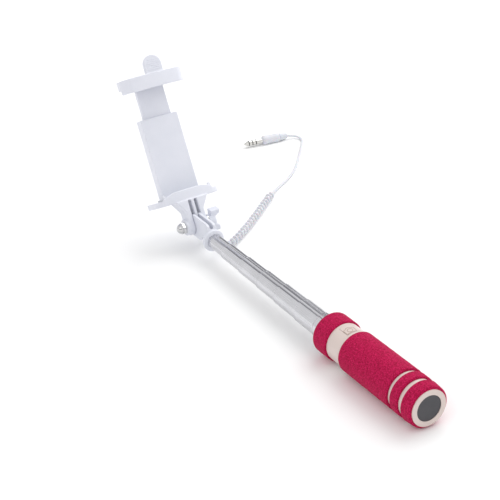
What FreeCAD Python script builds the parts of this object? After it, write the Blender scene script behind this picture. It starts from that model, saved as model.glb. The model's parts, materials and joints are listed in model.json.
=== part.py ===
"""Telescopic selfie stick with a sprung phone clamp, a shutter button in the grip and a curly audio cord.

Frame: +X along the clamp hinge, +Y from the grip towards the head, +Z up.  The stick lies on the floor on its grip.
Origin: bottom centre of the object without its cord.  Lengths in millimetres.
"""
import FreeCAD, Part
import Sketcher
import math
import os
from FreeCAD import Placement, Rotation, Vector

NODE_FOLDER = "parts"
document = FreeCAD.newDocument("SelfieStick")

# ---------------------------------------------------------------------------------------------- driving dimensions
# Distances named *_from_hinge run along the stick axis, from the clamp hinge back to the grip's end.
DIMENSIONS = {
    "hinge_forward": 94.28,         # clamp hinge in front of the origin
    "axis_height": 12.15,           # stick axis above the floor, the foam grip's radius
    "hinge_rise": 2.0,              # clamp hinge above the stick axis
    "clamp_lean": 26.95,            # degrees that the clamp leans forward from upright
    "slide_gap": 0.08,              # radial running clearance between tubes
    "seat_gap": 0.02,               # clearance of pieces that are fixed in each other
    # telescopic tubes, numbered from the head
    "thinnest_tube": 4.7,
    "tube_step": 0.5,
    "tube_wall": 0.42,
    "tube_length": 79.0,
    "front_tube_length": 75.2,
    "flute_centre": 8.35,
    "flute_depth": 0.35,
    "flute_angle": 16.0,
    # tube fronts
    "front_a": 21.8, "front_b": 40.1, "front_c": 61.7, "front_d": 83.7,
    "front_e": 104.2, "front_f": 127.2, "front_g": 146.6,
    # grip
    "core_radius": 10.0, "foam_radius": 12.15, "foam_bevel": 1.2,
    "grip_front": 155.8, "collar_front": 168.0, "collar_back": 180.6, "main_foam_back": 224.9,
    "middle_ring_front": 227.4, "middle_ring_back": 233.9, "end_ring_front": 237.0, "end_ring_back": 244.6,
    "stick_end": 245.1, "rib_radius": 11.0, "collar_radius": 11.2,
    "core_back": 243.6, "cavity_front": 226.0, "cavity_radius": 8.6,
    "cap_radius": 10.35, "spigot_front": 239.0, "disc_radius": 7.45, "disc_seat": 243.9, "disc_recess": 0.3,
    # shutter button and its switch, under the top of the collar
    "button_middle": 174.3, "button_length": 7.6, "button_width": 7.6, "button_crown": 11.3,
    "button_thickness": 0.6, "window_gap": 0.2,
    "board_bottom": 8.0, "board_thickness": 0.8, "board_width": 9.2, "board_length": 10.4,
    "switch_side": 4.0, "switch_height": 1.2, "plunger_radius": 0.9, "plunger_height": 0.2,
    # lead inside the handle
    "lead_channel": 0.8, "lead_turn": 237.2, "inner_coil_radius": 2.2, "inner_coil_front": 148.5,
    "inner_coil_back": 229.0,
    # head fork: plates beside the hinge, a flange that the thinnest tube ends in, and a spigot inside that tube
    "prong_outer": 2.9, "prong_inner": 1.1, "head_round": 6.5, "head_top": 10.3, "head_bottom": 4.5,
    "nose_top": 8.5, "heel_start": 10.0, "heel_middle": 12.8, "heel_rise": 1.5, "heel_end": 15.5, "web_bottom": 0.2,
    "plate_end": 21.8, "shoulder_start": 18.8, "shoulder_middle": 20.8, "shoulder_drop": 0.9, "shoulder_end": 7.0,
    "slot_depth": 13.0, "groove_floor": 5.0, "flange_front": 21.3, "flange_back": 23.3, "flange_radius": 7.0,
    "spigot_end": 32.0, "lead_hole": 1.2, "lead_hole_front": 17.2,
    # hinge stack along X
    "screw_radius": 2.0, "screw_bore": 2.08, "middle_lug": 0.95, "outer_lug_inside": 3.05, "outer_lug": 6.0,
    "lug_radius": 5.6, "nut_boss": 8.2, "nut_boss_radius": 5.2, "washer_boss": 7.4, "washer_boss_radius": 4.6,
    "washer_back": 8.15, "washer_radius": 4.2, "nut_hex_end": 10.4, "nut_hex_radius": 4.0,
    "nut_dome_radius": 3.2, "screw_end": 12.0, "knob_hub_end": 12.6, "knob_hub_radius": 3.6,
    "wing_start": 9.6, "wing_end": 16.0, "wing_span": 7.3, "wing_thickness": 3.0,
    # clamp, measured up from the hinge and back from the hinge plane
    "jaw_underside": 16.1, "lower_seat": 20.8, "lower_lip_top": 23.2, "upper_lip_bottom": 89.5,
    "upper_seat": 91.3, "jaw_top": 98.4, "pad_thickness": 1.2,
    "jaw_front": 4.4, "lip_thickness": 2.5, "jaw_bow": 60.0, "jaw_half_width": 22.0, "upper_half_width": 21.5,
    "lip_half_width": 17.0, "floor_bow": 36.0, "back_face": 8.65, "housing_back": 16.0, "housing_half_width": 13.0,
    "housing_top": 72.0, "cavity_bottom": 22.8, "channel_front": 10.4, "channel_back": 13.65,
    "channel_half_width": 9.75, "cover_front": 14.5, "cover_half_width": 11.2, "cavity_half_width": 10.2,
    "cover_top": 69.0, "tongue_front": 10.6, "tongue_back": 13.4, "tongue_half_width": 9.5,
    "tongue_bottom": 40.0, "spring_slot_top": 61.0, "spring_offset": 5.5, "spring_slot_half": 2.4,
    "spring_radius": 1.9, "spring_wire": 0.5, "spring_bottom": 24.0, "spring_top": 60.0,
    "spring_depth": 12.4, "stem_half_depth": 5.4, "stem_waist": 9.0, "stem_flare": 11.0,
    "tab_left": 5.0, "tab_right": 7.0, "tab_front": 3.4, "tab_thickness": 2.8, "tab_top": 109.5,
    # cord and plug
    "cord_radius": 0.8, "cord_coil_radius": 2.8, "gland_base": 1.9, "gland_tip": 1.0,
    "relief_tip": 1.0, "relief_base": 1.8, "relief_length": 6.0, "plug_radius": 2.8, "plug_length": 12.0,
    "nose_radius": 1.95, "nose_length": 1.0, "jack_radius": 1.75, "jack_sleeve": 4.6, "jack_contact": 2.0,
    "jack_gap": 0.7, "jack_tip": 3.2, "jack_point": 0.5,
}
sheet = document.addObject("Spreadsheet::Sheet", "Sizes")
for row, (alias, value) in enumerate(DIMENSIONS.items(), start=1):
    sheet.set("A%d" % row, alias)
    sheet.set("B%d" % row, str(value))
    sheet.setAlias("B%d" % row, alias)
document.recompute()
nodes = {}
gauge = document.addObject("Part::Vertex", "gauge")


def bound(expression):
    """The expression with each alias written as a reference to its cell."""
    words, word = [], ""
    for letter in str(expression) + " ":
        if letter.isalnum() or letter in "_.":
            word += letter
            continue
        words.append("Sizes." + word if word in DIMENSIONS else word)
        words.append(letter)
        word = ""
    return "".join(words).strip()


def size(expression):
    """The value of an expression in the sheet's aliases, read off a gauge point bound to it."""
    gauge.setExpression("X", bound(expression))
    gauge.recompute()
    return gauge.X.Value


# --------------------------------------------------------------------------------------------------------- helpers
ALONG = {"x": Rotation(Vector(0, 1, 0), 90), "y": Rotation(Vector(1, 0, 0), -90), "z": Rotation()}
AXES = ("x", "y", "z")


def move(thing, point):
    for axis, value in zip(AXES, point):
        thing.setExpression("Placement.Base." + axis, bound(value))


def box(name, low, high):
    """A box between two corners, each a triple of expressions."""
    thing = document.addObject("Part::Box", name)
    for side, start, end in zip(("Length", "Width", "Height"), low, high):
        thing.setExpression(side, bound("(%s) - (%s)" % (end, start)))
    move(thing, low)
    return thing


def rod(name, radius, length, base=(0, 0, 0), along="z"):
    thing = document.addObject("Part::Cylinder", name)
    thing.Placement = Placement(Vector(), ALONG[along])
    thing.setExpression("Radius", bound(radius))
    thing.setExpression("Height", bound(length))
    move(thing, base)
    return thing


def taper(name, first_radius, last_radius, length, base):
    thing = document.addObject("Part::Cone", name)
    thing.setExpression("Radius1", bound(first_radius))
    thing.setExpression("Radius2", bound(last_radius))
    thing.setExpression("Height", bound(length))
    move(thing, base)
    return thing


def joined(kind, name, parts):
    thing = document.addObject(kind, name)
    thing.Shapes = parts
    return thing


def fuse(name, *parts):
    return joined("Part::MultiFuse", name, list(parts))


def common(name, *parts):
    return joined("Part::MultiCommon", name, list(parts))


def cut(name, base, *tools):
    thing = document.addObject("Part::Cut", name)
    thing.Base = base
    thing.Tool = tools[0] if len(tools) == 1 else fuse(name + "_tools", *tools)
    return thing


def outline(sketch, points):
    """A closed polygon whose corners are bound to expressions."""
    count = len(points)
    for x, y in points:
        following = points[(points.index((x, y)) + 1) % count]
        start = Vector(size(x), size(y), 0)
        end = Vector(size(following[0]), size(following[1]), 0)
        sketch.addGeometry(Part.LineSegment(start, end), False)
    for side in range(count):
        sketch.addConstraint(Sketcher.Constraint("Coincident", side, 2, (side + 1) % count, 1))
    for side, (x, y) in enumerate(points):
        for kind, expression in (("DistanceX", x), ("DistanceY", y)):
            value = size(expression)
            number = sketch.addConstraint(Sketcher.Constraint(kind, -1, 1, side, 1, value))
            sketch.setExpression("Constraints[%d]" % number, bound(expression))


def sketched_body(name, plane, points):
    body = document.addObject("PartDesign::Body", name + "_body")
    sketch = body.newObject("Sketcher::SketchObject", name + "_outline")
    origin = [o for o in body.Origin.OriginFeatures if o.Role == plane][0]
    sketch.AttachmentSupport = (origin, [""])
    sketch.MapMode = "FlatFace"
    outline(sketch, points)
    return body, sketch


def turned(name, points):
    """A solid of revolution about local Z, from (radius, distance) points."""
    body, sketch = sketched_body(name, "XZ_Plane", points)
    feature = body.newObject("PartDesign::Revolution", name + "_turn")
    feature.Profile = sketch
    feature.ReferenceAxis = (sketch, ["V_Axis"])
    feature.Angle = 360
    return body


def padded(name, points, depth, plane="XZ_Plane"):
    """An outline in a local plane, padded to both sides by half the depth."""
    body, sketch = sketched_body(name, plane, points)
    feature = body.newObject("PartDesign::Pad", name + "_pad")
    feature.Profile = sketch
    feature.setExpression("Length", bound(depth))
    feature.Midplane = True
    return body


# Each frame is a placement in which a group of pieces is drawn.
def on_stick(thing):
    """Local Z runs from the hinge back along the stick, local Y is up."""
    thing.Placement = Placement(Vector(), Rotation(Vector(1, 0, 0), 90))
    move(thing, ("0", "hinge_forward", "axis_height"))


def on_clamp(thing):
    """Local Z runs up the clamp from the hinge, local Y to its back."""
    thing.Placement = Placement(Vector(), Rotation(Vector(-1, 0, 0), size("clamp_lean")))
    thing.setExpression("Placement.Rotation.Angle", bound("clamp_lean"))
    move(thing, ("0", "hinge_forward", "axis_height + hinge_rise"))


def on_hinge(thing):
    """Local Z runs along the hinge towards +X."""
    thing.Placement = Placement(Vector(), ALONG["x"])
    move(thing, ("0", "hinge_forward", "axis_height + hinge_rise"))


def on_plug(thing):
    """Local Z runs along the plug, from the boot on the cord to the tip of the jack."""
    thing.Placement = Placement(Vector(*from_hinge([LEAD_OUT[-1]])[0]), Rotation(Vector(0, 0, 1), PLUG_HEADING))


def keep(node, thing, frame=None):
    """A primitive already placed in its frame is wrapped, so that the frame can be placed in turn."""
    if frame and thing.TypeId in ("Part::Box", "Part::Cylinder", "Part::Cone"):
        wrapper = document.addObject("Part::Compound", thing.Name + "_placed")
        wrapper.Links = [thing]
        thing = wrapper
    if frame:
        frame(thing)
    thing.Label = node
    nodes[node] = thing


# ---------------------------------------------------------------------------------------------------------- tubes
FRONTS = ["front_a", "front_b", "front_c", "front_d", "front_e", "front_f", "front_g"]
OUTERMOST = len(FRONTS) - 1


def fluted(name, radius, front, length, flute_radius):
    """A rod along the stick with two flutes beside its top line."""
    flutes = []
    for side in (-1, 1):
        angle = "%d * flute_angle" % side
        base = ("flute_centre * sin(%s)" % angle, "flute_centre * cos(%s)" % angle, front + " - 1")
        flutes.append(rod("%s_flute_%d" % (name, side + 1), flute_radius, length + " + 2", base))
    return cut(name, rod(name + "_round", radius, length, ("0", "0", front)), *flutes)


def tube(number):
    """The flutes of all tubes share their centres, so each bore clears the tube inside it evenly."""
    front = FRONTS[number]
    length = "front_tube_length" if number == 0 else "tube_length"
    radius = "(thinnest_tube + %d * tube_step)" % number
    flute = "(flute_centre - %s + flute_depth)" % radius
    outside = fluted("tube_%d_outside" % (number + 1), radius, front, length, flute)
    bore = fluted("tube_%d_bore" % (number + 1), radius + " - tube_wall", front + " - 0.5", length + " + 1",
                  flute + " + tube_wall")
    keep("tube_%d" % (number + 1), cut("tube_%d_cut" % (number + 1), outside, bore), on_stick)


# ----------------------------------------------------------------------------------------------------------- grip
def foam_sleeve(node, front, back, end_step=None):
    """A foam sleeve on the core, bevelled at both outer edges."""
    start, inside = "%s" % front, "core_radius + seat_gap"
    points = [(inside, start), ("foam_radius - foam_bevel", start), ("foam_radius", "%s + foam_bevel" % front),
              ("foam_radius", "%s - foam_bevel" % back), ("foam_radius - foam_bevel", back)]
    if end_step:
        points += [("cap_radius + 0.05", back), ("cap_radius + 0.05", end_step), (inside, end_step)]
    else:
        points += [(inside, back)]
    keep(node, turned(node, points), on_stick)


def handle_core():
    """The moulded tube inside the grip, with two ribs between the foam sleeves and a tray for the board."""
    bore = "thinnest_tube + 6 * tube_step + seat_gap"
    body = turned("core", [
        (bore, "grip_front"), ("core_radius", "grip_front"),
        ("core_radius", "main_foam_back"), ("rib_radius", "main_foam_back"),
        ("rib_radius", "middle_ring_front"), ("core_radius", "middle_ring_front"),
        ("core_radius", "middle_ring_back"), ("rib_radius", "middle_ring_back"),
        ("rib_radius", "end_ring_front"), ("core_radius", "end_ring_front"),
        ("core_radius", "core_back"), ("cavity_radius", "core_back"),
        ("cavity_radius", "cavity_front"), (bore, "cavity_front")])
    tray = box("board_tray", ("-board_width / 2 - 0.2", "board_bottom", "button_middle - board_length / 2 - 0.2"),
               ("board_width / 2 + 0.2", "core_radius + 1", "button_middle + board_length / 2 + 0.2"))
    channel = box("lead_channel_cut", ("-lead_channel", "board_bottom - 0.35", "button_middle"),
                  ("lead_channel", "board_bottom + 1.2", "spigot_front"))
    keep("handle_core", cut("core_cut", body, tray, channel), on_stick)


def button_window(name, margin, low, high):
    half_width = "(button_width / 2 + %s)" % margin
    half_length = "(button_length / 2 + %s)" % margin
    return box(name, ("-" + half_width, low, "button_middle - " + half_length),
               (half_width, high, "button_middle + " + half_length))


def grip():
    handle_core()
    foam_sleeve("foam_front_ring", "grip_front", "collar_front")
    foam_sleeve("foam_main_grip", "collar_back", "main_foam_back")
    foam_sleeve("foam_middle_ring", "middle_ring_front", "middle_ring_back")
    foam_sleeve("foam_end_ring", "end_ring_front", "end_ring_back", "core_back")
    ring = turned("collar", [("core_radius + seat_gap", "collar_front + seat_gap"),
                             ("collar_radius", "collar_front + seat_gap"),
                             ("collar_radius", "collar_back - seat_gap"),
                             ("core_radius + seat_gap", "collar_back - seat_gap")])
    window = button_window("collar_window", "window_gap", "core_radius - 2", "collar_radius + 1")
    keep("button_collar", cut("collar_cut", ring, window), on_stick)
    crown = rod("button_crown", "button_crown", "button_length + 4",
                ("0", "0", "button_middle - button_length / 2 - 2"))
    under = rod("button_under", "button_crown - button_thickness", "button_length + 6",
                ("0", "0", "button_middle - button_length / 2 - 3"))
    shell = common("button_shell", cut("button_skin", crown, under),
                   button_window("button_block", "0", "core_radius - 1", "button_crown + 1"))
    post = rod("button_post", "1.2", "0.6", ("0", "button_crown - button_thickness - 0.02", "button_middle"), "y")
    keep("shutter_button", fuse("button_whole", shell, post), on_stick)
    keep("end_cap", turned("cap", [
        ("0", "spigot_front"), ("cavity_radius - seat_gap", "spigot_front"), ("cavity_radius - seat_gap", "core_back"),
        ("cap_radius", "core_back"), ("cap_radius", "stick_end"), ("disc_radius", "stick_end"),
        ("disc_radius", "disc_seat"), ("0", "disc_seat")]), on_stick)
    keep("end_disc", rod("disc", "disc_radius - 0.05", "stick_end - disc_recess - disc_seat",
                         ("0", "0", "disc_seat")), on_stick)


def electronics():
    half_width, half_length = "board_width / 2", "board_length / 2"
    top = "board_bottom + board_thickness"
    keep("circuit_board", box("board", ("-" + half_width, "board_bottom", "button_middle - " + half_length),
                              (half_width, top, "button_middle + " + half_length)), on_stick)
    block = box("switch_block", ("-switch_side / 2", top, "button_middle - switch_side / 2"),
                ("switch_side / 2", top + " + switch_height", "button_middle + switch_side / 2"))
    plunger = rod("switch_plunger", "plunger_radius", "plunger_height",
                  ("0", top + " + switch_height", "button_middle"), "y")
    keep("tact_switch", fuse("switch_whole", block, plunger), on_stick)
    keep("handle_lead_coil", rod("inner_coil", "inner_coil_radius", "inner_coil_back - inner_coil_front",
                                 ("0", "0", "inner_coil_front")), on_stick)
    height, turn = size("board_bottom + 0.5"), size("lead_turn")
    start, back = size("button_middle + board_length / 2"), size("inner_coil_back")
    route = [(0, height, start), (0, height, turn), (0, 0, turn), (0, 0, back)]
    keep("handle_lead_wire", cord_tube("handle_lead", route, 0.45), on_stick)


# ----------------------------------------------------------------------------------------------------------- cords
BEND_SHARE = 0.45


def cord_tube(name, route, radius):
    """A round tube along straight runs joined by tangent arcs, as large as the runs beside them allow."""
    points = [Vector(*point) for point in route]
    edges, last, radii = [], points[0], []
    for before, corner, after in zip(points, points[1:], points[2:]):
        into, out = (corner - before), (after - corner)
        run = min(into.Length, out.Length)
        into.normalize()
        out.normalize()
        half_turn = into.getAngle(out) / 2
        reach = BEND_SHARE * run
        radii.append(reach / math.tan(half_turn))
        start, end = corner - into * reach, corner + out * reach
        inward = (out - into).normalize()
        middle = corner + inward * (radii[-1] / math.cos(half_turn) - radii[-1])
        edges += [Part.LineSegment(last, start).toShape(), Part.Arc(start, middle, end).toShape()]
        last = end
    edges.append(Part.LineSegment(last, points[-1]).toShape())
    path = Part.Wire(edges)
    ring = Part.Wire(Part.Circle(points[0], points[1] - points[0], radius).toShape())
    solid = path.makePipeShell([ring], True, True)
    expected = math.pi * radius ** 2 * path.Length
    print("%s: length %.1f, radii %s, volume %.3f of section x length" % (
        name, path.Length, ["%.1f" % r for r in radii], solid.Volume / expected))
    thing = document.addObject("Part::Feature", name)
    thing.Shape = solid
    return thing


# The cord's route: distances from the hinge along X and Y, and heights above the floor.
LEAD_IN = [(5.9, -17.8, 9.4), (7.3, -18.1, 6.8), (8.9, -18.7, 4.2), (12.0, -19.2, 2.8)]
COIL = [(12.0, -19.2, 2.8), (31.0, -6.3, 2.8), (52.0, 11.4, 2.8), (72.1, 29.4, 2.8)]
LEAD_OUT = [(72.1, 29.4, 2.8), (78.6, 34.9, 1.7), (86.0, 40.3, 0.9), (97.5, 47.3, 0.85), (110.5, 60.0, 0.85),
            (122.5, 75.3, 0.85), (131.0, 86.2, 0.85), (137.4, 94.9, 0.85), (138.6, 100.4, 1.2), (135.8, 104.8, 2.0),
            (130.5, 106.0, 2.8)]
PLUG_HEADING = Vector(-0.987, 0.16, 0)
GLAND_FOOT = Vector(2.2, -18.0, 14.05)


def from_hinge(points):
    return [(x, y + size("hinge_forward"), z) for x, y, z in points]


def gland():
    """A tapered boot on the right side of the head, where the cord comes out."""
    foot = from_hinge([tuple(GLAND_FOOT)])[0]
    tip = from_hinge([LEAD_IN[0]])[0]
    heading = Vector(*tip) - Vector(*foot)
    boot = document.addObject("Part::Feature", "gland_boot")
    boot.Shape = Part.makeCone(size("gland_base"), size("gland_tip"), heading.Length, Vector(*foot), heading)
    seat = box("gland_seat", ("-prong_outer", "0", "0"), ("prong_outer", "hinge_forward", "2 * axis_height"))
    keep("cord_gland", cut("gland_cut", boot, seat))


def cord():
    keep("cord_lead_in", cord_tube("lead_in", from_hinge(LEAD_IN), size("cord_radius")))
    keep("cord_coil", cord_tube("coil", from_hinge(COIL), size("cord_coil_radius")))
    keep("cord_lead_out", cord_tube("lead_out", from_hinge(LEAD_OUT), size("cord_radius")))


def plug():
    """The pieces of the plug in line, with black rings between the jack's contacts."""
    start = "0"
    bands = []
    pieces = (("plug_boot", "relief_tip", "relief_base", "relief_length"),
              ("plug_body", "plug_radius", "plug_radius", "plug_length"),
              ("plug_nose", "nose_radius", "nose_radius", "nose_length"),
              ("jack_sleeve", "jack_radius", "jack_radius", "jack_sleeve"),
              ("jack_ring_rear", "jack_radius", "jack_radius", "jack_contact"),
              ("jack_ring_front", "jack_radius", "jack_radius", "jack_contact"),
              ("jack_tip", "jack_radius", "jack_point", "jack_tip"))
    for node, first_radius, last_radius, length in pieces:
        if first_radius == last_radius:
            piece = rod(node + "_rod", first_radius, length, ("0", "0", start))
        else:
            piece = taper(node + "_cone", first_radius, last_radius, length, ("0", "0", start))
        keep(node, piece, on_plug)
        start += " + " + length
        if node.startswith("jack") and node != "jack_tip":
            bands.append(rod(node + "_band", "jack_radius", "jack_gap", ("0", "0", start)))
            start += " + jack_gap"
    rings = document.addObject("Part::Compound", "jack_bands")
    rings.Links = bands
    keep("jack_insulators", rings, on_plug)


# ------------------------------------------------------------------------------------------------------ head, hinge
def head_fork():
    """Two plates moulded in one with the flange and the fluted spigot that hold the thinnest tube."""
    side = padded("head_side", [
        ("-head_bottom", "0"), ("-head_bottom", "heel_start"), ("-heel_rise", "heel_middle"),
        ("-web_bottom", "heel_end"), ("-web_bottom", "plate_end"), ("shoulder_end", "plate_end"),
        ("head_top - shoulder_drop", "shoulder_middle"), ("head_top", "shoulder_start"),
        ("head_top", "1.5"), ("nose_top", "0")], "2 * prong_outer", "YZ_Plane")
    nose = rod("head_nose", "head_round", "2 * prong_outer", ("-prong_outer", "hinge_rise", "0"), "x")
    flange = rod("head_flange", "flange_radius", "flange_back - flange_front", ("0", "0", "flange_front"))
    plates = fuse("head_plates", side, nose, flange)
    slot = box("head_slot", ("-prong_inner", "-10", "-10"), ("prong_inner", "12", "slot_depth"))
    groove = box("head_groove", ("-prong_inner", "groove_floor", "slot_depth - 1"),
                 ("prong_inner", "12", "flange_front"))
    recess = fluted("head_recess", "thinnest_tube + seat_gap", "front_a - seat_gap", "5",
                    "flute_centre - thinnest_tube + flute_depth - seat_gap")
    pin_bore = rod("head_pin_bore", "screw_bore", "12", ("-6", "hinge_rise", "0"), "x")
    inside = "flute_centre - thinnest_tube + flute_depth + tube_wall + seat_gap"
    spigot = fluted("head_spigot", "thinnest_tube - tube_wall - seat_gap", "flange_front",
                    "spigot_end - flange_front", inside)
    lead_hole = rod("head_lead_hole", "lead_hole", "20", ("0", "0", "lead_hole_front"))
    side_hole = rod("head_side_hole", "cord_radius + 0.1", "5", ("0", "lead_hole", "lead_hole_front + 0.8"), "x")
    socket = cut("head_socket", plates, slot, groove, recess, pin_bore)
    keep("head_fork", cut("head_whole", fuse("head_solid", socket, spigot), lead_hole, side_hole), on_stick)


def hinge():
    screw = rod("screw", "screw_radius", "screw_end + knob_hub_end - 0.2", ("0", "0", "-screw_end"))
    keep("hinge_screw", screw, on_hinge)
    hexagon = document.addObject("Part::Prism", "nut_hexagon")
    hexagon.Polygon = 6
    hexagon.setExpression("Circumradius", bound("nut_hex_radius"))
    hexagon.setExpression("Height", bound("nut_hex_end - nut_boss"))
    move(hexagon, ("0", "0", "-nut_hex_end"))
    dome = document.addObject("Part::Sphere", "nut_dome")
    dome.setExpression("Radius", bound("nut_dome_radius"))
    dome.Angle1, dome.Angle2 = -90, 0
    move(dome, ("0", "0", "-nut_hex_end"))
    thread = rod("nut_thread", "screw_bore", "6", ("0", "0", "-screw_end - 0.2"))
    keep("dome_nut", cut("nut_cut", fuse("nut_whole", hexagon, dome), thread), on_hinge)
    keep("hinge_washer", cut("washer_cut",
                             rod("washer_disc", "washer_radius", "washer_back - washer_boss - 0.04",
                                 ("0", "0", "washer_boss + 0.02")),
                             rod("washer_bore", "screw_bore", "3", ("0", "0", "washer_boss - 1"))), on_hinge)
    wings = box("wings", ("-wing_span", "-wing_thickness / 2", "wing_start"),
                ("wing_span", "wing_thickness / 2", "wing_end"))
    waist = rod("wing_notch", "4.4", "wing_thickness + 2", ("0", "-wing_thickness / 2 - 1", "wing_end + 1.2"), "y")
    hub = rod("knob_hub", "knob_hub_radius", "knob_hub_end - washer_back - 0.03", ("0", "0", "washer_back + 0.03"))
    knob = cut("knob_cut", fuse("knob_whole", hub, cut("wings_cut", wings, waist)),
               rod("knob_bore", "screw_radius + 0.01", "6", ("0", "0", "knob_hub_end - 6.1")))
    keep("wing_knob", knob, on_hinge)


# ----------------------------------------------------------------------------------------------------------- clamp
def bowed(name, low, high, inset="0", radius="jaw_bow"):
    """A block whose front follows the jaws' shallow bow, set back by the inset."""
    bow = rod(name + "_bow", radius + " - " + inset, "120", ("0", radius + " - jaw_front", "0"))
    return common(name, box(name + "_block", low, high), bow)


def lip(name, bottom, top, half_width):
    front = bowed(name + "_front", ("-" + half_width, "-jaw_front - 1", bottom), (half_width, "3.2", top))
    hollow = rod(name + "_hollow", "jaw_bow - lip_thickness", "120", ("0", "jaw_bow - jaw_front", "0"))
    return cut(name, front, hollow)


def clamp_base():
    """Three lugs, the lower jaw and the spring housing behind it, moulded as one."""
    stem = padded("stem", [("-outer_lug", "0"), ("-outer_lug", "stem_waist"), ("-stem_flare", "jaw_underside + 0.5"),
                           ("stem_flare", "jaw_underside + 0.5"), ("outer_lug", "stem_waist"), ("outer_lug", "0")],
                  "2 * stem_half_depth")
    lugs = rod("lugs", "lug_radius", "2 * outer_lug", ("-outer_lug", "0", "0"), "x")
    nut_boss = rod("nut_boss", "nut_boss_radius", "nut_boss - outer_lug", ("-nut_boss", "0", "0"), "x")
    washer_boss = rod("washer_boss", "washer_boss_radius", "washer_boss - outer_lug", ("outer_lug", "0", "0"), "x")
    knuckle = fuse("knuckle", stem, lugs, nut_boss, washer_boss)
    slots = [box("lug_slot_%s" % side, (left, "-9", "-9"), (right, "9", "jaw_underside"))
             for side, left, right in (("left", "-outer_lug_inside", "-middle_lug"),
                                       ("right", "middle_lug", "outer_lug_inside"))]
    pin_bore = rod("lug_bore", "screw_bore", "30", ("-15", "0", "0"), "x")
    floor = bowed("lower_floor", ("-jaw_half_width", "-6", "jaw_underside"),
                  ("jaw_half_width", "housing_back", "lower_seat - pad_thickness"), radius="floor_bow")
    housing = box("housing", ("-housing_half_width", "back_face", "jaw_underside"),
                  ("housing_half_width", "housing_back", "housing_top"))
    cavity = box("housing_cavity", ("-cavity_half_width", "channel_front", "cavity_bottom"),
                 ("cavity_half_width", "cover_front + 0.5", "cover_top - 1"))
    cover_seat = box("cover_seat", ("-cover_half_width - 0.05", "cover_front", "cavity_bottom - 1.05"),
                     ("cover_half_width + 0.05", "housing_back + 1", "cover_top + 0.05"))
    channel = box("tongue_channel", ("-channel_half_width", "channel_front", "cover_top - 2"),
                  ("channel_half_width", "channel_back", "housing_top + 1"))
    base = cut("base_cut", fuse("base_whole", knuckle, floor, housing, lip("lower_lip", "jaw_underside",
                                                                          "lower_lip_top", "lip_half_width")),
               cavity, cover_seat, channel, pin_bore, *slots)
    keep("clamp_base", base, on_clamp)
    keep("clamp_rear_cover", box("rear_cover", ("-cover_half_width", "cover_front", "cavity_bottom - 1"),
                                 ("cover_half_width", "housing_back", "cover_top")), on_clamp)
    pad = bowed("lower_pad_body", ("-lip_half_width", "-6", "lower_seat - pad_thickness"),
                ("lip_half_width", "back_face", "lower_seat"), "(lip_thickness + 0.1)")
    keep("lower_jaw_pad", pad, on_clamp)


def upper_jaw():
    bar = bowed("upper_bar", ("-upper_half_width", "-6", "upper_seat + pad_thickness"),
                ("upper_half_width", "tongue_back", "jaw_top"))
    middle = "(tab_right - tab_left) / 2"
    reach = "(tab_right + tab_left) / 2"
    tab = box("tab_block", ("-tab_left", "-tab_front", "jaw_top - 1"),
              ("tab_right", "tab_thickness - tab_front", "tab_top - " + reach))
    crown = rod("tab_crown", reach, "tab_thickness", (middle, "-tab_front", "tab_top - " + reach), "y")
    front = lip("upper_lip", "upper_lip_bottom", "jaw_top", "upper_half_width")
    jaw = fuse("upper_whole", bar, front, tab, crown)
    keep("clamp_upper_jaw", jaw, on_clamp)
    pad = bowed("upper_pad_body", ("-lip_half_width", "-6", "upper_seat"),
                ("lip_half_width", "back_face", "upper_seat + pad_thickness"), "(lip_thickness + 0.1)")
    keep("upper_jaw_pad", pad, on_clamp)
    plate = box("tongue_plate", ("-tongue_half_width", "tongue_front", "tongue_bottom"),
                ("tongue_half_width", "tongue_back", "upper_seat + pad_thickness"))
    slots = []
    for side, sign in (("left", "-1"), ("right", "1")):
        centre = "%s * spring_offset" % sign
        slots.append(box("spring_slot_" + side, (centre + " - spring_slot_half", "0", "tongue_bottom - 1"),
                         (centre + " + spring_slot_half", "20", "spring_slot_top")))
        wire = cut("spring_%s_cut" % side,
                   rod("spring_%s_round" % side, "spring_radius", "spring_top - spring_bottom",
                       (centre, "spring_depth", "spring_bottom")),
                   rod("spring_%s_bore" % side, "spring_radius - spring_wire", "90",
                       (centre, "spring_depth", "10")))
        keep("clamp_spring_" + side, wire, on_clamp)
    keep("clamp_tongue", cut("tongue_cut", plate, *slots), on_clamp)


def build():
    for number in range(len(FRONTS)):
        tube(number)
    grip()
    electronics()
    gland()
    head_fork()
    hinge()
    clamp_base()
    upper_jaw()
    cord()
    plug()


def check():
    """Stops the script unless every object recomputed and every node is a closed, valid solid."""
    document.recompute()
    for thing in document.Objects:
        if "Invalid" in thing.State or "Error" in thing.State:
            raise RuntimeError("%s did not recompute: %s" % (thing.Name, thing.State))
    for node, thing in nodes.items():
        shape = thing.Shape
        if shape.isNull() or not shape.isValid() or not shape.Solids:
            raise RuntimeError("%s has no valid solid" % node)


def export():
    os.makedirs(NODE_FOLDER, exist_ok=True)
    for node, thing in nodes.items():
        thing.Shape.exportStep(os.path.join(NODE_FOLDER, node + ".step"))
    print("%d nodes written" % len(nodes))


def report_box():
    """The object's box without its cord, which the origin is centred under."""
    whole = FreeCAD.BoundBox()
    for node, thing in nodes.items():
        if not node.startswith(("cord_lead", "cord_coil", "plug_", "jack_")):
            whole.add(thing.Shape.BoundBox)
    print("x %.2f %.2f  y %.2f %.2f  z %.2f %.2f" % (whole.XMin, whole.XMax, whole.YMin, whole.YMax,
                                                    whole.ZMin, whole.ZMax))


build()
check()
export()
report_box()
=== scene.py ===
"""Looks of the selfie stick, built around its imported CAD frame.

Metres, +Y from the grip to the clamp, +Z up.  Pieces are sized in millimetres, through the local frames.
"""
import json
import math

import bmesh
import bpy
from mathutils import Matrix, Vector, noise


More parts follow.
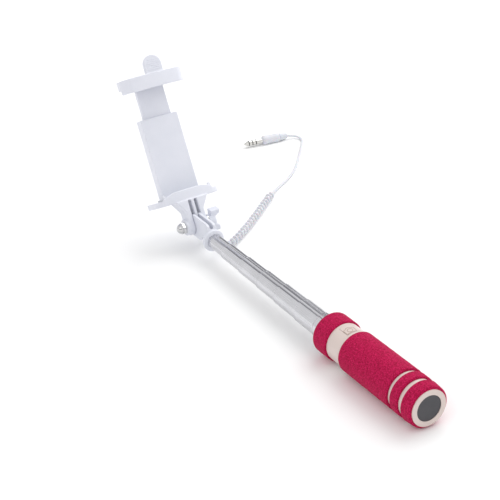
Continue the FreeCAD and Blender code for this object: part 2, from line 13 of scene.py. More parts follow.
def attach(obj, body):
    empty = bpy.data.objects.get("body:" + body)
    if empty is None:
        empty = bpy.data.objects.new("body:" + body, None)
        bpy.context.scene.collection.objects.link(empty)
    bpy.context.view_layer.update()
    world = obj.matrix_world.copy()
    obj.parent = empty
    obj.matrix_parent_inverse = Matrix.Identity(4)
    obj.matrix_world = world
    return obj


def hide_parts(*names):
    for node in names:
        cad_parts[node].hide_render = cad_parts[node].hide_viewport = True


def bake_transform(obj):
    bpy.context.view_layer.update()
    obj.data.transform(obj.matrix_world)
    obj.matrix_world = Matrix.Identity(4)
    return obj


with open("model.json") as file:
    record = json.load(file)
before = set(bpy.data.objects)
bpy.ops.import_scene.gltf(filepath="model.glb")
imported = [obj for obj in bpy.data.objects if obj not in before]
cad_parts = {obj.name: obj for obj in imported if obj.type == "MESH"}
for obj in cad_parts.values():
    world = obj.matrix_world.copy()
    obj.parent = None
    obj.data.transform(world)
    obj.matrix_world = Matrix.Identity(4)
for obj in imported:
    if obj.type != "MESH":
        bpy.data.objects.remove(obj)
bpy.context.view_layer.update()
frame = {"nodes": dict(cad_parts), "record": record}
nodes = frame["nodes"]
MM = 0.001
HINGE = Vector((0, 94.28, 14.15)) * MM
STICK = Vector((0, 94.28, 12.15)) * MM
LEAN = math.radians(26.95)


def local_frame(origin, first, second):
    """A matrix from local millimetres to the model: two given axes, and their cross product as the third."""
    first, second = Vector(first).normalized(), Vector(second).normalized()
    axes = Matrix((first * MM, second * MM, first.cross(second) * MM)).transposed()
    return Matrix.Translation(origin) @ axes.to_4x4()


# The stick's third axis runs back from the hinge, the clamp's runs up it, the hinge's runs towards +X.
ON_STICK = local_frame(STICK, (1, 0, 0), (0, 0, 1))
ON_CLAMP = local_frame(HINGE, (1, 0, 0), (0, math.cos(LEAN), -math.sin(LEAN)))
ON_HINGE = local_frame(HINGE, (0, 1, 0), (0, 0, 1))

# ---------------------------------------------------------------------------------------------------- camera
CAMERA_FROM_HINGE = Vector((-353.07, -724.45, 407.21)) * MM
CAMERA_RIGHT = Vector((0.86333, -0.50108, -0.05982))
CAMERA_UP = Vector((0.28173, 0.38024, 0.88093))
LENS, SENSOR_WIDTH = 103.25, 36
NEAREST, FARTHEST = 0.01, 20


def make_camera():
    """The photograph's viewpoint, held by its place from the hinge and its right and up directions."""
    data = bpy.data.cameras.new("camera")
    data.lens = LENS
    data.sensor_width = SENSOR_WIDTH
    data.clip_start, data.clip_end = NEAREST, FARTHEST
    camera = bpy.data.objects.new("camera", data)
    bpy.context.scene.collection.objects.link(camera)
    right = CAMERA_RIGHT.normalized()
    back = right.cross(CAMERA_UP).normalized()
    axes = Matrix((right, back.cross(right), back)).transposed()
    camera.matrix_world = Matrix.Translation(HINGE + CAMERA_FROM_HINGE) @ axes.to_4x4()
    bpy.context.scene.camera = camera


# ------------------------------------------------------------------------------------------------- materials
class Shader:
    """A Principled material whose nodes are added one call at a time."""

    def __init__(self, name, **constants):
        self.material = bpy.data.materials.new(name)
        self.material.use_nodes = True
        self.tree = self.material.node_tree
        self.surface = self.tree.nodes["Principled BSDF"]
        for socket, value in constants.items():
            self.surface.inputs[socket.replace("_", " ")].default_value = value
        self.place = self.add("ShaderNodeTexCoord").outputs["Object"]

    def add(self, kind, inputs=None, **settings):
        node = self.tree.nodes.new(kind)
        for name, value in settings.items():
            setattr(node, name, value)
        for socket, value in (inputs or {}).items():
            if hasattr(value, "is_output"):
                self.tree.links.new(value, node.inputs[socket])
            else:
                node.inputs[socket].default_value = value
        return node

    def noise(self, scale, detail=3.0, stretch=None, roughness=0.5):
        place = self.place
        if stretch:
            place = self.add("ShaderNodeMapping", {"Vector": place, "Scale": stretch}).outputs["Vector"]
        inputs = {"Vector": place, "Scale": scale, "Detail": detail, "Roughness": roughness}
        return self.add("ShaderNodeTexNoise", inputs).outputs["Fac"]

    def cells(self, scale):
        return self.add("ShaderNodeTexVoronoi", {"Vector": self.place, "Scale": scale}).outputs["Distance"]

    def ramp(self, value, *stops):
        node = self.add("ShaderNodeValToRGB", {"Fac": value})
        ramp = node.color_ramp
        while len(ramp.elements) < len(stops):
            ramp.elements.new(0.5)
        for element, (position, colour) in zip(ramp.elements, stops):
            element.position = position
            element.color = (*colour, 1) if len(colour) == 3 else colour
        return node.outputs["Color"]

    def range(self, value, low, high, from_low=0.35, from_high=0.65):
        node = self.add("ShaderNodeMapRange", {"Value": value, "From Min": from_low, "From Max": from_high,
                                               "To Min": low, "To Max": high})
        return node.outputs["Result"]

    def multiply(self, first, second):
        inputs = {0: 1.0, 6: first, 7: second}
        return self.add("ShaderNodeMix", inputs, data_type="RGBA", blend_type="MULTIPLY").outputs[2]

    def bump(self, height, strength, distance, below=None):
        inputs = {"Height": height, "Strength": strength, "Distance": distance}
        if below:
            inputs["Normal"] = below
        return self.add("ShaderNodeBump", inputs).outputs["Normal"]

    def set(self, socket, value):
        self.tree.links.new(value, self.surface.inputs[socket])


def foam():
    """Fine-celled sponge sleeve: a mottle of denser patches, and a fine speckle with darker pores and paler
    cell walls. The pores' darkness is painted shade in the fine bump's hollows.
    """
    made = Shader("crimson_foam", Roughness=0.92, Specular_IOR_Level=0.12, Sheen_Weight=0.08,
                  Sheen_Roughness=0.5)
    made.surface.inputs["Sheen Tint"].default_value = (1.0, 0.35, 0.5, 1)
    pores = made.cells(1100)
    fine = made.noise(1500, 3)
    # The speckle comes from the same noise as the fine bump. It varies the foam's tone at random, and its
    # darker colour in the bump's hollows is painted shade standing for the pores.
    grain = made.ramp(fine, (0.34, (0.31, 0.003, 0.036)), (0.5, (0.48, 0.006, 0.070)),
                      (0.66, (0.63, 0.017, 0.108)))
    shade = made.ramp(made.noise(900, 4), (0.35, (0.82, 0.80, 0.80)), (0.65, (1.0, 1.0, 1.0)))
    made.set("Base Color", made.multiply(grain, shade))
    lower = made.bump(fine, 0.9, 0.00035)
    made.set("Normal", made.bump(pores, 0.5, 0.0003, lower))
    return made.material


def plastic(name, pale, deep, roughness, subsurface=0.0, coat=0.0, grain=0.06):
    """Moulded plastic: slight flow variation in colour, a fine satin texture and uneven gloss."""
    made = Shader(name, Coat_Weight=coat, Coat_Roughness=0.15)
    if subsurface:
        made.surface.inputs["Subsurface Weight"].default_value = subsurface
        made.surface.inputs["Subsurface Scale"].default_value = 0.002
    flow = made.noise(45, 3)
    made.set("Base Color", made.ramp(flow, (0.3, deep), (0.7, pale)))
    made.set("Roughness", made.range(made.noise(160, 4), roughness - 0.05, roughness + 0.07))
    made.set("Normal", made.bump(made.noise(1800, 3), grain, 0.0001))
    return made.material


def steel(name, tint, roughness, along=(1, 1, 1), marks=0.05):
    """Drawn or plated metal with fine lines in the direction it was worked."""
    made = Shader(name, Metallic=1.0, Anisotropic=0.3)
    lines = made.noise(900, 3, along)
    cloud = made.noise(70, 4)
    made.set("Base Color", made.ramp(cloud, (0.3, tuple(0.9 * c for c in tint)), (0.7, tint)))
    made.set("Roughness", made.range(lines, roughness - 0.06, roughness + 0.08))
    made.set("Normal", made.bump(lines, marks, 0.00005))
    return made.material


def paint(node, material):
    """Gives a CAD node its material."""
    data = nodes[node].data
    data.materials.clear()
    data.materials.append(material)


# ---------------------------------------------------------------------------------------------------- meshes
def stands_for(piece, material, body, slot, *replaced):
    """Finishes a new piece: its material, the body it moves with and the CAD nodes it replaces."""
    piece.data.materials.append(material)
    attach(piece, body)
    if replaced:
        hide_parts(*replaced)
    return piece


def mesh_piece(name, points, faces, crease=35):
    """A smooth-shaded mesh whose edges stay sharp above an angle."""
    build = bmesh.new()
    corners = [build.verts.new(point) for point in points]
    for face in faces:
        if len(set(face)) > 2:
            build.faces.new([corners[i] for i in face])
    bmesh.ops.remove_doubles(build, verts=build.verts, dist=0.002 * MM)
    bmesh.ops.recalc_face_normals(build, faces=build.faces)
    mesh = bpy.data.meshes.new(name)
    build.to_mesh(mesh)
    build.free()
    mesh.polygons.foreach_set("use_smooth", [True] * len(mesh.polygons))
    mesh.set_sharp_from_angle(angle=math.radians(crease))
    made = bpy.data.objects.new(name, mesh)
    bpy.context.scene.collection.objects.link(made)
    return made


def rings(name, sections, closed, crease=35):
    """A skin over sections that have the same number of points, each a closed ring."""
    points = [point for section in sections for point in section]
    around, faces = len(sections[0]), []
    for row in range(len(sections) if closed else len(sections) - 1):
        below, above = row * around, (row + 1) % len(sections) * around
        for i in range(around):
            j = (i + 1) % around
            faces.append((below + i, below + j, above + j, above + i))
    return mesh_piece(name, points, faces, crease)


def rounded(corners, steps=5):
    """A closed outline from (radius, distance, fillet) corners, with each fillet as a short arc."""
    outline = []
    for before, corner, after in zip(corners[-1:] + corners[:-1], corners, corners[1:] + corners[:1]):
        here = Vector(corner[:2])
        if not corner[2]:
            outline.append(here)
            continue
        into, out = (Vector(before[:2]) - here).normalized(), (Vector(after[:2]) - here).normalized()
        half = into.angle(out) / 2
        reach = corner[2] / math.tan(half)
        centre = here + (into + out).normalized() * (corner[2] / math.sin(half))
        start, end = here + into * reach - centre, here + out * reach - centre
        for step in range(steps + 1):
            between = start.slerp(end, step / steps)
            outline.append(centre + between)
    return outline


def turned(name, outline, frame_of, segments=96, shape=None, crease=35):
    """A closed outline of (radius, distance) turned about the frame's third axis."""
    sections = []
    for radius, distance in outline:
        section = []
        for step in range(segments):
            angle = 2 * math.pi * step / segments
            reach = radius + (shape(radius, distance, angle) if shape else 0.0)
            section.append(frame_of @ Vector((reach * math.cos(angle), reach * math.sin(angle), distance)))
        sections.append(section)
    return rings(name, sections, True, crease)


def divided(outline, longest):
    """The outline with points added along its long sides."""
    result = []
    for here, following in zip(outline, outline[1:] + outline[:1]):
        here, following = Vector(here), Vector(following)
        parts = max(1, math.ceil((following - here).length / longest))
        result += [here.lerp(following, part / parts) for part in range(parts)]
    return result


def soften(node, width, segments=3, angle=30):
    """Rounds a CAD node's sharp edges as moulding or plating does."""
    edges = nodes[node].modifiers.new("edges", "BEVEL")
    edges.width = width * MM
    edges.segments = segments
    edges.limit_method = "ANGLE"
    edges.angle_limit = math.radians(angle)
    edges.harden_normals = True
    edges.use_clamp_overlap = True


def moulded(node, body, slot, material, voxel, rounds, shift=None):
    """The CAD shape remeshed and relaxed, which rounds its edges as a mould does.

    The voxel is in millimetres, rounds is how often it is relaxed, and shift may move its points.
    """
    mesh = nodes[node].data.copy()
    made = bpy.data.objects.new(node + "_moulding", mesh)
    bpy.context.scene.collection.objects.link(made)
    remesh = made.modifiers.new("remesh", "REMESH")
    remesh.mode = "VOXEL"
    remesh.voxel_size = voxel * MM
    relax = made.modifiers.new("relax", "SMOOTH")
    relax.factor = 0.5
    relax.iterations = rounds
    bpy.context.view_layer.update()
    baked = bpy.data.meshes.new_from_object(made.evaluated_get(bpy.context.evaluated_depsgraph_get()))
    made.modifiers.clear()
    made.data = baked
    if shift:
        for vertex in baked.vertices:
            vertex.co = shift(vertex.co)
    baked.materials.clear()
    baked.polygons.foreach_set("use_smooth", [True] * len(baked.polygons))
    return stands_for(made, material, body, slot, node)


# ------------------------------------------------------------------------------------------------------ grip
FOAM_INSIDE, FOAM_OUTSIDE, FOAM_ROUND, FOAM_REAR_ROUND = 10.05, 12.15, 0.85, 1.3
FOAM_SLEEVES = {"foam_front_ring": (155.8, 168.0), "foam_main_grip": (180.6, 224.9),
                "foam_middle_ring": (227.4, 233.9), "foam_end_ring": (237.0, 244.6)}
FOAM_GAP, FOAM_SEGMENTS = 0.05, 160
SWELL_FROM, SWELL_DEPTH, SWELL_SCALE = 11, 0.05, 0.35
CAP_SEAT, CORE_BACK = 10.41, 243.65


def foam_swell(radius, distance, angle):
    """The slightly uneven skin of a sleeve's outside, in millimetres."""
    if radius <= SWELL_FROM:
        return 0.0
    place = Vector((radius * math.cos(angle), radius * math.sin(angle), distance)) * SWELL_SCALE
    return SWELL_DEPTH * noise.noise(place) - SWELL_DEPTH


def make_foam(material):
    """Four sleeves with rolled ends; the last one steps over the end cap."""
    for node, (front, back) in FOAM_SLEEVES.items():
        over_cap = node == "foam_end_ring"
        inside = CAP_SEAT if over_cap else FOAM_INSIDE
        corners = [(FOAM_INSIDE, front + FOAM_GAP, 0), (FOAM_OUTSIDE, front + FOAM_GAP, FOAM_ROUND),
                   (FOAM_OUTSIDE, back, FOAM_REAR_ROUND if over_cap else FOAM_ROUND), (inside, back, 0)]
        if over_cap:
            corners += [(inside, CORE_BACK, 0), (FOAM_INSIDE, CORE_BACK, 0)]
        outline = divided(rounded(corners, 7), 1.2)
        sleeve = turned(node + "_skin", outline, ON_STICK, FOAM_SEGMENTS, foam_swell)
        stands_for(sleeve, material, "handle", "pink_foam", node)


PICTOGRAM_MIDDLE, PICTOGRAM_TURN = 175.2, math.radians(-3)
PICTOGRAM_RADIUS, PICTOGRAM_LINE = 11.27, 0.16
LENS_RADIUS, LENS_DROP, LENS_POINTS = 1.5, 0.35, 20


def make_pictogram(material):
    """A plain camera outline moulded on the button: a body with a raised finder and a round lens."""
    body = [(-2.7, -2.5), (-3.1, -2.1), (-3.1, 1.3), (-2.7, 1.7), (-1.5, 1.7), (-1.1, 2.4),
            (1.1, 2.4), (1.5, 1.7), (2.7, 1.7), (3.1, 1.3), (3.1, -2.1), (2.7, -2.5)]
    turns = [2 * math.pi * i / LENS_POINTS for i in range(LENS_POINTS)]
    lens = [(LENS_RADIUS * math.cos(turn), LENS_RADIUS * math.sin(turn) - LENS_DROP) for turn in turns]
    for name, outline in (("camera_outline", body), ("camera_lens", lens)):
        curve = bpy.data.curves.new(name, "CURVE")
        curve.dimensions = "3D"
        spline = curve.splines.new("POLY")
        points = divided(outline, 0.4)
        spline.points.add(len(points) - 1)
        for target, (across, forward) in zip(spline.points, points):
            angle = across / PICTOGRAM_RADIUS + PICTOGRAM_TURN
            place = ON_STICK @ Vector((PICTOGRAM_RADIUS * math.sin(angle), PICTOGRAM_RADIUS * math.cos(angle),
                                       PICTOGRAM_MIDDLE - forward))
            target.co = (*place, 1)
        spline.use_cyclic_u = True
        curve.bevel_depth = PICTOGRAM_LINE * MM
        curve.bevel_resolution = 2
        made = bpy.data.objects.new(name, curve)
        bpy.context.scene.collection.objects.link(made)
        stands_for(made, material, "button", "beige_plastic")


# ----------------------------------------------------------------------------------------------------- tubes
TUBE_FRONTS = (21.8, 40.1, 61.7, 83.7, 104.2, 127.2, 146.6)
TUBE_BACKS = (97.0, 119.1, 140.7, 162.7, 183.2, 206.2, 225.6)
THINNEST, TUBE_STEP, TUBE_WALL = 4.7, 0.5, 0.42
FLUTE_CENTRE, FLUTE_DEPTH, FLUTE_ANGLE = 8.35, 0.35, math.radians(16)
# Degrees round a tube, closer together over the flutes.
TUBE_ANGLES = ([math.radians(a) for a in range(0, 60, 4)] + [math.radians(a * 0.75) for a in range(80, 160)]
               + [math.radians(a) for a in range(120, 360, 4)])
# A front end as (distance back from the front, how far it is drawn in) in millimetres.
PLAIN_FRONT = ((0.0, TUBE_WALL - 0.02), (0.1, 0.0))
CRIMPED_FRONT = ((0.0, TUBE_WALL - 0.02), (0.02, 0.30), (0.12, 0.15), (0.3, 0.05), (0.6, 0.0), (1.5, 0.0),
                 (1.55, 0.09), (1.8, 0.09), (1.85, 0.0))
INNER_END = 4


def tube_section(radius, inward, distance):
    """The fluted outline of a tube, drawn in by a distance."""
    flute = FLUTE_CENTRE - radius + FLUTE_DEPTH + inward
    section = []
    for angle in TUBE_ANGLES:
        reach = radius - inward
        for side in (-1, 1):
            aside = angle - math.pi / 2 - side * FLUTE_ANGLE
            across = FLUTE_CENTRE * math.sin(aside)
            if abs(across) < flute and math.cos(aside) > 0:
                reach = min(reach, FLUTE_CENTRE * math.cos(aside) - math.sqrt(flute ** 2 - across ** 2))
        section.append(ON_STICK @ Vector((reach * math.cos(angle), reach * math.sin(angle), distance)))
    return section


def make_tubes(material):
    """Drawn tubes whose front ends are rolled in and crimped, so that each hides the next one's rim."""
    for number, (front, back) in enumerate(zip(TUBE_FRONTS, TUBE_BACKS)):
        radius = THINNEST + number * TUBE_STEP
        stations = [(front + along, inward) for along, inward in (CRIMPED_FRONT if number else PLAIN_FRONT)]
        stations += [(front + (back - front) * share, 0.0) for share in (0.3, 0.6)]
        stations += [(back - 0.1, 0.0), (back, 0.05), (back, TUBE_WALL), (front + INNER_END, TUBE_WALL)]
        sections = [tube_section(radius, inward, along) for along, inward in stations]
        tube = rings("drawn_tube_%d" % (number + 1), sections, True, 50)
        body = "handle" if number + 1 == len(TUBE_FRONTS) else "section_%d" % (number + 1)
        stands_for(tube, material, body, "steel_tube", "tube_%d" % (number + 1))


# ----------------------------------------------------------------------------------------------------- clamp
SPRING_BOTTOM, SPRING_TOP, SPRING_RADIUS, SPRING_WIRE, SPRING_TURNS = 24.0, 60.0, 1.6, 0.25, 26
SPRING_OFFSET, SPRING_DEPTH, SPRING_TAIL, SPRING_HOOK, SPRING_STEPS = 5.5, 12.4, 2, 0.3, 12


def make_springs(material):
    """Two extension springs that pull the upper jaw down, each with a straight tail at both ends."""
    for side, offset in (("left", -SPRING_OFFSET), ("right", SPRING_OFFSET)):
        points = [ON_CLAMP @ Vector((offset, SPRING_DEPTH, SPRING_BOTTOM + SPRING_HOOK))]
        for step in range(SPRING_TURNS * SPRING_STEPS + 1):
            turn = step / SPRING_STEPS
            wound = SPRING_TOP - SPRING_BOTTOM - 2 * SPRING_TAIL
            height = SPRING_BOTTOM + SPRING_TAIL + wound * turn / SPRING_TURNS
            angle = 2 * math.pi * turn
            points.append(ON_CLAMP @ Vector((offset + SPRING_RADIUS * math.cos(angle),
                                             SPRING_DEPTH + SPRING_RADIUS * math.sin(angle), height)))
        points.append(ON_CLAMP @ Vector((offset, SPRING_DEPTH, SPRING_TOP - SPRING_HOOK)))
        spring = nurbs("spring_path_" + side, points, SPRING_WIRE * MM, 3)
        bpy.context.view_layer.update()
        skin = bpy.data.meshes.new_from_object(spring.evaluated_get(bpy.context.evaluated_depsgraph_get()))
        bpy.data.objects.remove(spring)
        skin.polygons.foreach_set("use_smooth", [True] * len(skin.polygons))
        skin.materials.clear()
        skin.materials.append(material)
        stretched = bpy.data.objects.new("spring_coil_" + side, skin)
        bpy.context.scene.collection.objects.link(stretched)
        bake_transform(stretched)
        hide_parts("clamp_spring_" + side)


TAB_MIDDLE, TAB_FACE, FIRST_RIB, RIB_STEP, RIB_HALF, RIB_COUNT = 1.0, -3.35, 100.4, 1.25, 4.6, 6
STRAIGHT_RIBS = 4
# A rib's section as (up, out), and its ends as (distance from the end, share of the full height).
RIB_SECTION = ((-0.22, 0.0), (-0.14, 0.20), (0.0, 0.28), (0.14, 0.20), (0.22, 0.0))
RIB_ENDS = ((0.0, 0.0), (0.3, 0.7), (0.7, 1.0))


def make_tab_ribs(material):
    """Fine grip ribs across the front of the thumb tab, shorter where the tab's top rounds off."""
    for number in range(RIB_COUNT):
        height = FIRST_RIB + number * RIB_STEP
        half = RIB_HALF if number < STRAIGHT_RIBS else 4.2 - 0.5 * (number - 3)
        stations = [(along - half, full) for along, full in RIB_ENDS]
        stations += [(half - along, full) for along, full in reversed(RIB_ENDS)]
        sections = [[ON_CLAMP @ Vector((TAB_MIDDLE + across, TAB_FACE - out * full, height + up))
                     for up, out in RIB_SECTION] for across, full in stations]
        rib = rings("tab_rib_%d" % (number + 1), sections, False)
        stands_for(rib, material, "upper_jaw", "white_plastic")


# ----------------------------------------------------------------------------------- shapes of the mouldings
JAW_END, JAW_STRAIGHT, JAW_MIDDLE, JAW_DRAW, JAW_CURVE = 21.5, 15.0, 5.5, 0.62, 2.5


def rounded_jaw(point):
    """Draws the upper bar's four corners in, so that its ends are round when seen from above."""
    local = ON_CLAMP.inverted() @ point
    past = max(0.0, abs(local.x) - JAW_STRAIGHT) / (JAW_END - JAW_STRAIGHT)
    local.y += (JAW_MIDDLE - local.y) * JAW_DRAW * past ** JAW_CURVE
    return ON_CLAMP @ local


LIP_FOOT, LIP_FULL, LIP_END, LIP_FALL, LIP_CURVE = 19.6, 8.0, 17.5, 0.8, 1.6


def tapered_lip(point):
    """Lowers the lower jaw's lip towards its two ends."""
    local = ON_CLAMP.inverted() @ point
    if local.z > LIP_FOOT and local.y < 0:
        past = min(1.0, max(0.0, abs(local.x) - LIP_FULL) / (LIP_END - LIP_FULL))
        local.z = LIP_FOOT + (local.z - LIP_FOOT) * (1 - LIP_FALL * past ** LIP_CURVE)
    return ON_CLAMP @ local


FLANGE_MIDDLE, FLANGE_BORE, FLANGE_RIM, FLANGE_CROWN, FLANGE_RISE = 22.3, 4.0, 7.0, 0.7, 0.6


def domed_flange(point):
    """Rounds the flange's front face up onto the tube that it holds."""
    local = ON_STICK.inverted() @ point
    radius = math.hypot(local.x, local.y)
    if local.z > FLANGE_MIDDLE and FLANGE_BORE < radius < FLANGE_RIM:
        share = (radius - FLANGE_BORE) / (FLANGE_RIM - FLANGE_BORE)
        local.z += FLANGE_CROWN * (1 - share ** 2) * min(1.0, (local.z - FLANGE_MIDDLE) / FLANGE_RISE)
    return ON_STICK @ local


LOBE_START, LOBE_REACH, WAIST_SHARE, LOBE_EXTRA = 3.2, 3.0, 1.25, 0.45


def knob_lobes(point):
    """Swells the wings into two lobes and leaves a waist between them."""
    local = ON_HINGE.inverted() @ point
    out = min(1.0, max(0.0, abs(local.y) - LOBE_START) / LOBE_REACH)
    local.x *= WAIST_SHARE + LOBE_EXTRA * out
    return ON_HINGE @ local


# ------------------------------------------------------------------------------------------------------ plug
PLUG_START = (130.5, 106.0, 2.8)
PLUG_HEADING = (-0.987, 0.16, 0)
BOOT_RIBS, RIB_PITCH, RIB_GROWTH, WIRE_BORE = 4, 1.3, 0.2, 0.55


def make_plug(material):
    """A moulded plug with a grip waist and a ribbed relief boot."""
    down = Vector((0, 0, -1))
    frame_of = local_frame(from_hinge([PLUG_START])[0], down, Vector(PLUG_HEADING).cross(down))
    boot = [(WIRE_BORE, 0.0, 0), (1.0, 0.0, 0.15)]
    for rib in range(BOOT_RIBS):
        start, radius = 0.7 + rib * RIB_PITCH, 1.05 + rib * RIB_GROWTH
        boot += [(radius, start, 0.05), (radius - 0.2, start + 0.15, 0.05),
                 (radius - 0.2, start + 0.5, 0.05), (radius + 0.15, start + 0.65, 0.05)]
    boot += [(1.8, 5.95, 0), (WIRE_BORE, 5.95, 0)]
    body = [(0.3, 6.0, 0), (2.5, 6.0, 0.5), (2.8, 8.0, 0.6), (2.55, 10.5, 1.5), (2.55, 14.0, 1.5),
            (2.8, 16.0, 0.5), (2.75, 18.0, 0.35), (0.3, 18.0, 0)]
    for name, outline, node in (("relief_boot", boot, "plug_boot"), ("plug_moulding", body, "plug_body")):
        piece = turned(name, rounded(outline, 4), frame_of, 64)
        stands_for(piece, material, "section_1", "cord_white", node)


# -------------------------------------------------------------------------------------------------- the cord
# The cord's route on the floor, in millimetres from the hinge along X and Y, and above the floor.
LEAD_IN = [(5.9, -17.8, 9.4), (7.3, -18.1, 6.8), (8.9, -18.7, 4.2), (12.0, -19.2, 2.8)]
COIL = [(31.0, -6.3, 2.8), (52.0, 11.4, 2.8), (72.1, 29.4, 2.8)]
LEAD_OUT = [(78.6, 34.9, 1.7), (86.0, 40.3, 0.9), (97.5, 47.3, 0.85), (110.5, 60.0, 0.85),
            (122.5, 75.3, 0.85), (131.0, 86.2, 0.85), (137.4, 94.9, 0.85), (138.6, 100.4, 1.2),
            (135.8, 104.8, 2.0), (130.5, 106.0, 2.8)]
WIRE_RADIUS = 0.8 * MM
COIL_RADIUS = 1.98 * MM
COIL_TURNS, POINTS_PER_TURN, OPENING_TURNS = 20, 14, 0.7


def from_hinge(points):
    """Route points in millimetres as places in the model."""
    return [Vector((x * MM, HINGE.y + y * MM, z * MM)) for x, y, z in points]


def nurbs(name, points, radius=0.0, resolution=8):
    """A smooth curve guided by its points, round in section when it has a radius."""
    curve = bpy.data.curves.new(name, "CURVE")
    curve.dimensions = "3D"
    curve.resolution_u = resolution
    spline = curve.splines.new("NURBS")
    spline.points.add(len(points) - 1)
    for target, point in zip(spline.points, points):
        target.co = (*point, 1)
    spline.order_u = 3
    spline.use_endpoint_u = True
    curve.bevel_depth = radius
    curve.bevel_resolution = 4
    curve.use_fill_caps = True
    made = bpy.data.objects.new(name, curve)
    bpy.context.scene.collection.objects.link(made)
    return made


def line_of(curve):
    """The points of a curve's own line, in order."""
    bpy.context.view_layer.update()
    mesh = bpy.data.meshes.new_from_object(curve)
    points = [v.co.copy() for v in mesh.vertices]
    bpy.data.meshes.remove(mesh)
    return points


def helix(line, first, last, turns):
    """Points of a helix wound round a line between two places, opening out of it and back into it."""
    start = min(range(len(line)), key=lambda i: (line[i] - first).length)
    end = min(range(len(line)), key=lambda i: (line[i] - last).length)
    stretch = line[start:end + 1]
    distances = [0.0]
    for a, b in zip(stretch, stretch[1:]):
        distances.append(distances[-1] + (b - a).length)
    points = []
    steps, at = turns * POINTS_PER_TURN, 0
    for step in range(steps + 1):
        target = distances[-1] * step / steps
        while at < len(stretch) - 2 and distances[at + 1] < target:
            at += 1
        share = (target - distances[at]) / (distances[at + 1] - distances[at])
        centre = stretch[at].lerp(stretch[at + 1], share)
        forward = (stretch[at + 1] - stretch[at]).normalized()
        side = forward.cross(Vector((0, 0, 1))).normalized()
        up = side.cross(forward)
        turn = step / POINTS_PER_TURN
        opening = min(1.0, turn / OPENING_TURNS, (turns - turn) / OPENING_TURNS)
        opening = opening * opening * (3 - 2 * opening)
        angle = 2 * math.pi * turn - math.pi / 2
        points.append(centre + (side * math.cos(angle) + up * math.sin(angle)) * COIL_RADIUS * opening)
    return points


def make_cord(material):
    """One cord: a lead from the gland, the curly stretch wound round its route, and a lead to the plug."""
    lead_in, coil, lead_out = from_hinge(LEAD_IN), from_hinge(COIL), from_hinge(LEAD_OUT)
    route = nurbs("route", lead_in + coil + lead_out, resolution=40)
    line = line_of(route)
    bpy.data.objects.remove(route)
    wound = helix(line, lead_in[-1], coil[-1], COIL_TURNS)
    cord = nurbs("cord", lead_in[:-1] + wound + lead_out, WIRE_RADIUS, resolution=4)
    stands_for(cord, material, "section_1", "cord_white", "cord_lead_in", "cord_coil", "cord_lead_out")


# ------------------------------------------------------------------------------------------ floor and lights
FLOOR_SIDE = 6.0
SKY_STRENGTH = 0.9
# Two dark cards give the bright metal something to reflect; each fades out away from its heading.
CARD_HEADINGS = ((0.41, 0.80, 0.44), (-0.80, -0.55, 0.22))
CARD_COLOUR, CARD_EDGE, SKY_COLOUR, SKY_EDGE = (0.30, 0.30, 0.32, 1), 0.25, (1.0, 1.0, 1.0, 1), 0.55
# Name, place, width in metres and power in watts.
LIGHTS = (("key", (1.0, 0.45, 1.2), 1.5, 14.0), ("fill", (-1.2, -0.6, 0.9), 1.2, 3.0))


def make_floor():
    mesh = bpy.data.meshes.new("floor")
    side = FLOOR_SIDE
    corners = [(-side, -side, 0), (side, -side, 0), (side, side, 0), (-side, side, 0)]
    mesh.from_pydata(corners, [], [(0, 1, 2, 3)])
    floor = bpy.data.objects.new("floor", mesh)
    bpy.context.scene.collection.objects.link(floor)
    look = Shader("floor_paper", Roughness=0.9, Specular_IOR_Level=0.1)
    look.set("Base Color", look.ramp(look.noise(3, 2), (0.3, (0.93, 0.93, 0.93)), (0.7, (0.95, 0.95, 0.95))))
    mesh.materials.append(look.material)


def make_sky():
    world = bpy.data.worlds.new("studio")
    bpy.context.scene.world = world
    world.use_nodes = True
    tree = world.node_tree
    background = tree.nodes["Background"]
    background.inputs["Strength"].default_value = SKY_STRENGTH
    heading = tree.nodes.new("ShaderNodeTexCoord").outputs["Generated"]
    nearest = tree.nodes.new("ShaderNodeMath")
    nearest.operation = "MINIMUM"
    for socket, card in zip(nearest.inputs, CARD_HEADINGS):
        apart = tree.nodes.new("ShaderNodeVectorMath")
        apart.operation = "DISTANCE"
        apart.inputs[1].default_value = card
        tree.links.new(heading, apart.inputs[0])
        tree.links.new(apart.outputs["Value"], socket)
    shades = tree.nodes.new("ShaderNodeValToRGB")
    inner, outer = shades.color_ramp.elements
    inner.position, inner.color = CARD_EDGE, CARD_COLOUR
    outer.position, outer.color = SKY_EDGE, SKY_COLOUR
    tree.links.new(nearest.outputs["Value"], shades.inputs["Fac"])
    tree.links.new(shades.outputs["Color"], background.inputs["Color"])


def make_lights():
    for name, place, width, power in LIGHTS:
        data = bpy.data.lights.new(name, "AREA")
        data.shape = "DISK"
        data.size = width
        data.energy = power
        lamp = bpy.data.objects.new(name, data)
        bpy.context.scene.collection.objects.link(lamp)
        lamp.location = place
        lamp.rotation_euler = (-Vector(place)).to_track_quat("-Z", "Y").to_euler()


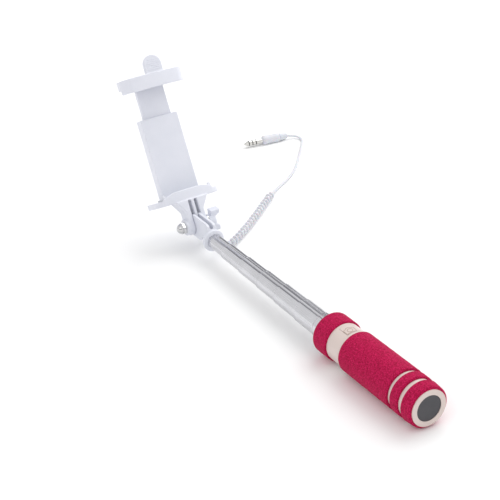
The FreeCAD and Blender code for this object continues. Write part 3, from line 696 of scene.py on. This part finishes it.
# ----------------------------------------------------------------------------------------------------- build
make_camera()
white = plastic("white_plastic", (0.76, 0.77, 0.84), (0.70, 0.72, 0.79), 0.34)
cord_vinyl = plastic("cord_vinyl", (0.72, 0.73, 0.77), (0.66, 0.67, 0.72), 0.35, subsurface=0.1)
looks = {
    "white_plastic": white,
    "pad_rubber": plastic("pad_rubber", (0.60, 0.62, 0.66), (0.55, 0.57, 0.61), 0.55),
    "steel_tube": steel("tube_steel", (0.69, 0.69, 0.72), 0.22, (1, 0.02, 1), 0.004),
    "plated_steel": steel("plated_steel", (0.62, 0.62, 0.63), 0.12),
    "spring_steel": steel("spring_steel", (0.5, 0.5, 0.51), 0.3),
    "pink_foam": foam(),
    "beige_plastic": plastic("pearl_beige", (0.70, 0.59, 0.545), (0.65, 0.545, 0.505), 0.33, coat=0.3),
    "grey_disc": plastic("disc_grey", (0.050, 0.049, 0.056), (0.040, 0.040, 0.047), 0.42),
    "cord_white": cord_vinyl,
    "jack_metal": steel("jack_nickel", (0.75, 0.74, 0.71), 0.14),
    "jack_bands": plastic("jack_bands", (0.04, 0.04, 0.04), (0.03, 0.03, 0.03), 0.4),
    "board_green": plastic("board_green", (0.05, 0.22, 0.10), (0.04, 0.18, 0.08), 0.35),
    "switch_black": plastic("switch_black", (0.05, 0.05, 0.05), (0.04, 0.04, 0.04), 0.4),
}
for entry in frame["record"]["subparts"]:
    paint(entry["node"], looks[entry["material_slot"]])
make_plug(cord_vinyl)
make_cord(cord_vinyl)
make_foam(looks["pink_foam"])
make_pictogram(plastic("pictogram_tan", (0.42, 0.30, 0.24), (0.38, 0.27, 0.21), 0.4))
make_tubes(looks["steel_tube"])
make_springs(looks["spring_steel"])
make_tab_ribs(white)
moulded("clamp_base", "clamp", "white_plastic", white, 0.4, 5, tapered_lip)
moulded("clamp_upper_jaw", "upper_jaw", "white_plastic", white, 0.3, 8, rounded_jaw)
moulded("head_fork", "section_1", "white_plastic", white, 0.25, 6, domed_flange)
moulded("wing_knob", "wing_screw", "white_plastic", white, 0.25, 8, knob_lobes)
for node in ("clamp_rear_cover", "lower_jaw_pad", "upper_jaw_pad"):
    soften(node, 0.4)
for node in ("button_collar", "end_cap", "handle_core", "shutter_button", "end_disc", "cord_gland",
             "dome_nut", "hinge_washer", "plug_nose"):
    soften(node, 0.25)
make_floor()
make_sky()
make_lights()
bpy.context.scene.view_settings.view_transform = "Standard"
